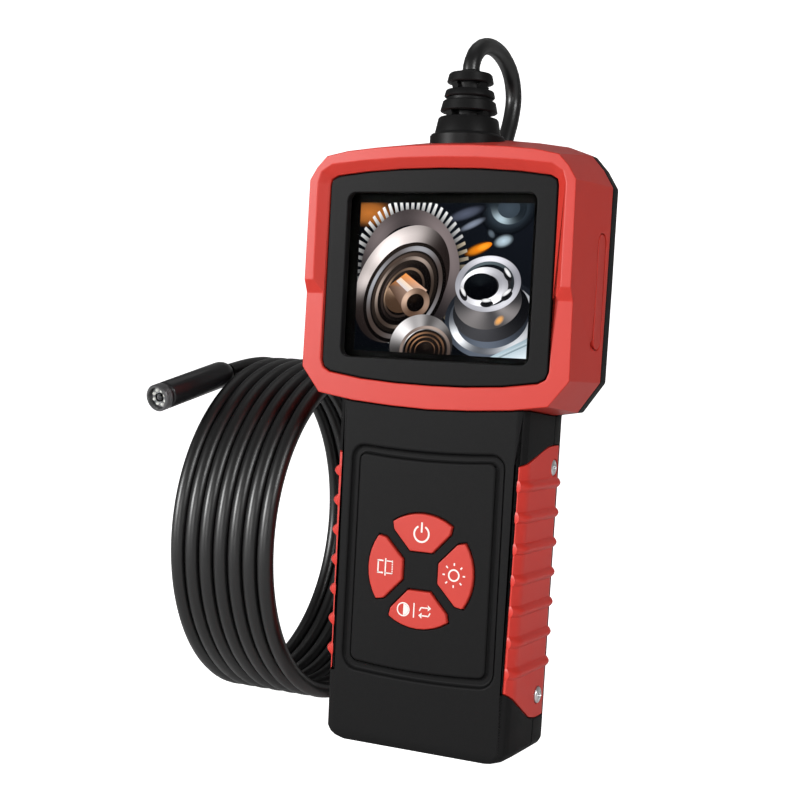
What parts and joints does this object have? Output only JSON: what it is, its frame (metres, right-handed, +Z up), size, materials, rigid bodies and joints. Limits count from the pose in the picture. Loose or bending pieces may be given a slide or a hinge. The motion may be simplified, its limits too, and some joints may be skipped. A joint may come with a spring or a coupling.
{
  "type": "inspection camera",
  "caption": "Hand-held inspection camera with a red and black housing, a display, sprung keys, ribbed grips and a lit probe on a coiled cable",
  "frame": {"origin": "middle of the handle's flat base, below the middle of the housing", "axes": "+Z up along the handle, the display and keys face -Y, +X to the right seen from the front"},
  "size_m": [0.1367, 0.1114, 0.2095],
  "materials": {
    "black_shell": "fine satin moulded",
    "red_shell": "satin moulded",
    "red_grip": "soft satin",
    "red_key": "soft satin with white print",
    "bezel": "smooth",
    "display_glass": "polished cover over a lit picture",
    "bare_steel": "plain",
    "screw_steel": "plated",
    "circuit_board": "green lacquer",
    "cell_wrap": "shrink wrap",
    "black_rubber": "satin moulded",
    "cable_jacket": "smooth, slightly glossy",
    "dark_metal": "black anodised",
    "lamp_board": "white solder mask",
    "lamp": "clear epoxy over a white emitter",
    "lens": "polished",
    "probe_window": "polished"
  },
  "bodies": {
    "device": {"front_shell": "black_shell", "rear_shell": "black_shell", "head_bumper": "red_shell", "screen_bezel": "bezel", "display_glass": "display_glass", "display_panel": "bare_steel", "main_board": "circuit_board", "keypad_board": "circuit_board", "battery_cell": "cell_wrap", "cable_clamp": "black_shell", "usb_socket": "bare_steel", "card_socket": "bare_steel", "left_grip": "red_grip", "right_grip": "red_grip", "strain_relief": "black_rubber", "cable_lead": "cable_jacket", "cable_coil": "cable_jacket", "cable_tail": "cable_jacket", "probe_housing": "dark_metal", "probe_nose_ring": "dark_metal", "probe_lamp_board": "lamp_board", "probe_lens": "lens", "probe_window": "probe_window", "left_upper_grip_screw": "screw_steel", "left_lower_grip_screw": "screw_steel", "right_upper_grip_screw": "screw_steel", "right_lower_grip_screw": "screw_steel", "left_rear_screw": "screw_steel", "right_rear_screw": "screw_steel", "power_switch": "bare_steel", "mirror_switch": "bare_steel", "mode_switch": "bare_steel", "light_switch": "bare_steel", "probe_lamp_1": "lamp", "probe_lamp_2": "lamp", "probe_lamp_3": "lamp", "probe_lamp_4": "lamp", "probe_lamp_5": "lamp", "probe_lamp_6": "lamp", "probe_lamp_7": "lamp", "probe_lamp_8": "lamp"},
    "power_key": {"power_key": "red_key"},
    "mirror_key": {"mirror_key": "red_key"},
    "mode_key": {"mode_key": "red_key"},
    "light_key": {"light_key": "red_key"},
    "port_door": {"port_door": "red_shell"}
  },
  "joints": [
    {"name": "power_key_press", "type": "slide", "parent": "device", "child": "power_key", "axis": [0, 1, 0], "range_m": [0, 0.0008], "stiffness_N_per_m": 1500},
    {"name": "mirror_key_press", "type": "slide", "parent": "device", "child": "mirror_key", "axis": [0, 1, 0], "range_m": [0, 0.0008], "stiffness_N_per_m": 1500},
    {"name": "mode_key_press", "type": "slide", "parent": "device", "child": "mode_key", "axis": [0, 1, 0], "range_m": [0, 0.0008], "stiffness_N_per_m": 1500},
    {"name": "light_key_press", "type": "slide", "parent": "device", "child": "light_key", "axis": [0, 1, 0], "range_m": [0, 0.0008], "stiffness_N_per_m": 1500},
    {"name": "port_door_hinge", "type": "hinge", "parent": "device", "child": "port_door", "pos_m": [0.0424, 0.00435, 0.1503], "axis": [0, -1, 0], "range_deg": [0, 110]}
  ]
}
